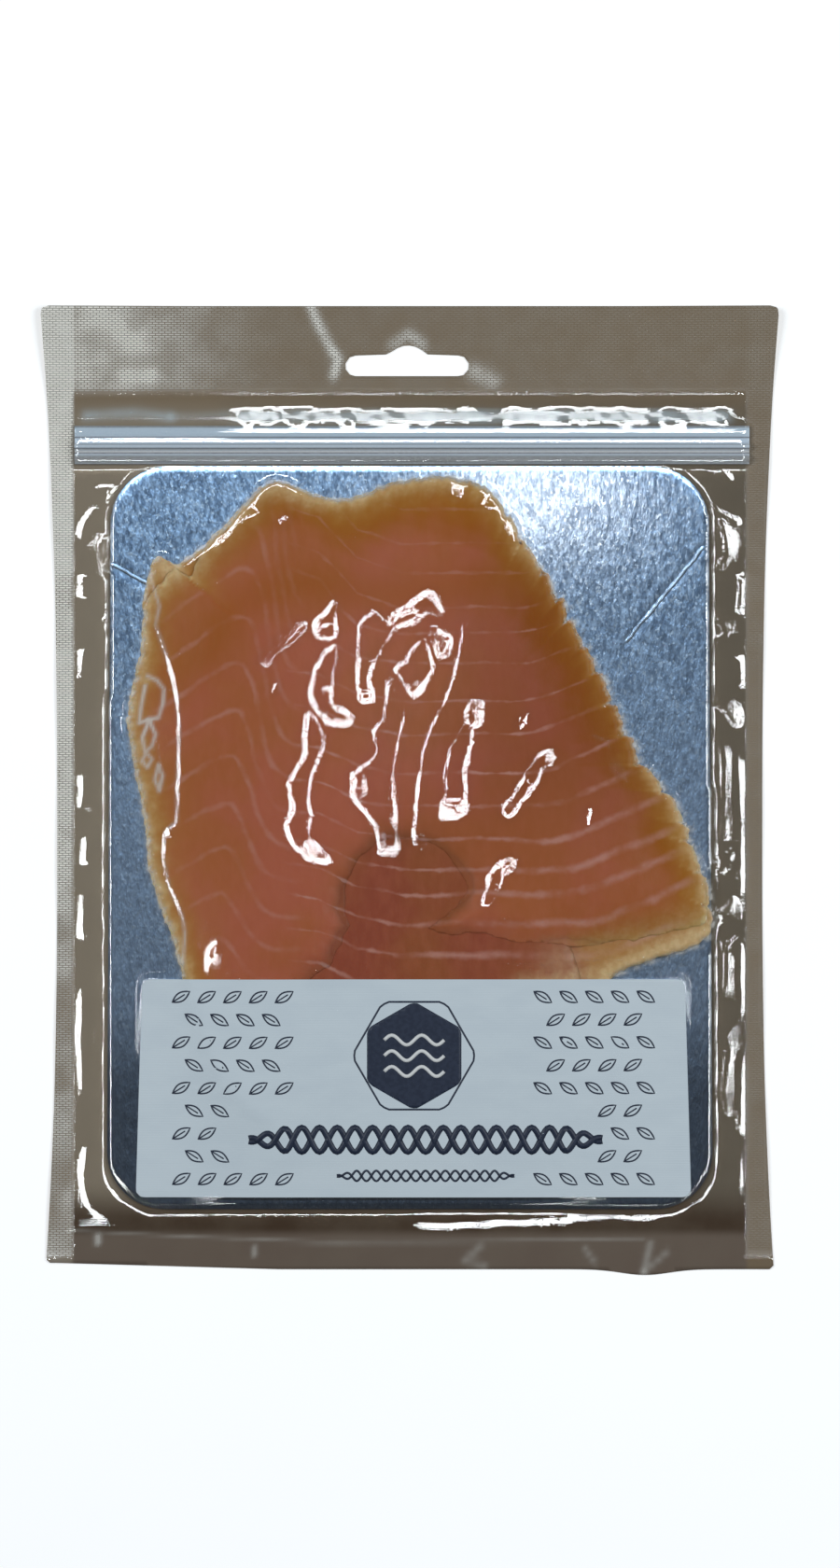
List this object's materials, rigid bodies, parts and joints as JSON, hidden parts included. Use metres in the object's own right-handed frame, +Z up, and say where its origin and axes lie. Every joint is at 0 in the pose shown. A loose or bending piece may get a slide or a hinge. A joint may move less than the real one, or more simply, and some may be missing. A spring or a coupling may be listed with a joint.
{
  "type": "vacuum pack of smoked salmon",
  "caption": "Flat clear vacuum pouch with hang hole and press zip, holding sliced smoked salmon on a foil board under a plain label.",
  "frame": {"origin": "under the middle of the pouch, on the surface that it lies on", "axes": "+Z up out of the front, +Y towards the hang hole, +X to the right seen from the front"},
  "size_m": [0.1976, 0.2594, 0.0083],
  "materials": {
    "film": "gloss",
    "zip_strip": "gloss",
    "foil_board": "embossed",
    "salmon": "satin",
    "label_paper": "matte"
  },
  "bodies": {
    "root": {"pouch": "film", "zip_closure": "zip_strip", "board": "foil_board", "salmon_slice_lower": "salmon", "salmon_slice_middle": "salmon", "salmon_slice_upper": "salmon", "label": "label_paper"}
  },
  "joints": []
}
